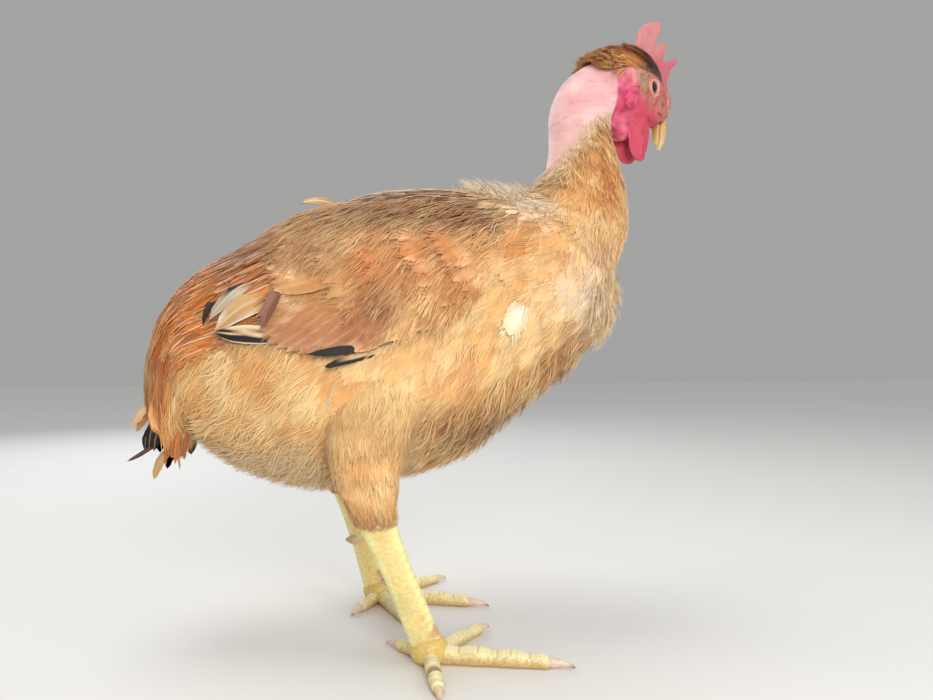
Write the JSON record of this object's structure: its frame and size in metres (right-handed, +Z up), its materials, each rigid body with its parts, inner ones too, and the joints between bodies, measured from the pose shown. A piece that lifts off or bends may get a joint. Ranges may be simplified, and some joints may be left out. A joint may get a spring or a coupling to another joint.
{
  "type": "rooster",
  "caption": "Standing naked-neck cockerel with an upright comb, hanging wattles, layered wing, saddle and tail feathers, and scaled yellow legs.",
  "frame": {"origin": "on the floor under the middle of the bird's box", "axes": "+X towards the breast and the beak, +Y to the bird's left side, +Z up"},
  "size_m": [0.4055, 0.2402, 0.4661],
  "materials": {
    "buff_feather": "matte",
    "gold_feather": "matte",
    "copper_feather": "satin",
    "tail_feather": "satin",
    "bare_skin": "satin",
    "face_skin": "satin",
    "comb_skin": "satin",
    "lid_skin": "satin",
    "eye": "gloss",
    "beak_horn": "satin",
    "claw_horn": "satin",
    "leg_scale": "satin"
  },
  "bodies": {
    "root": {"torso": "buff_feather", "neck": "bare_skin", "tail": "tail_feather", "head": "face_skin", "comb": "comb_skin", "beak_upper": "beak_horn", "beak_lower": "beak_horn", "crown_feathers": "copper_feather", "eye_right": "eye", "eyelids_right": "lid_skin", "ear_right": "face_skin", "wattle_right": "face_skin", "wing_right": "gold_feather", "thigh_right": "buff_feather", "shank_right": "leg_scale", "spur_right": "claw_horn", "foot_right": "leg_scale", "toe_right_1": "leg_scale", "toe_right_2": "leg_scale", "toe_right_3": "leg_scale", "toe_right_4": "leg_scale", "claw_right_1": "claw_horn", "claw_right_2": "claw_horn", "claw_right_3": "claw_horn", "claw_right_4": "claw_horn", "eye_left": "eye", "eyelids_left": "lid_skin", "ear_left": "face_skin", "wattle_left": "face_skin", "wing_left": "gold_feather", "thigh_left": "buff_feather", "shank_left": "leg_scale", "spur_left": "claw_horn", "foot_left": "leg_scale", "toe_left_1": "leg_scale", "toe_left_2": "leg_scale", "toe_left_3": "leg_scale", "toe_left_4": "leg_scale", "claw_left_1": "claw_horn", "claw_left_2": "claw_horn", "claw_left_3": "claw_horn", "claw_left_4": "claw_horn"}
  },
  "joints": []
}
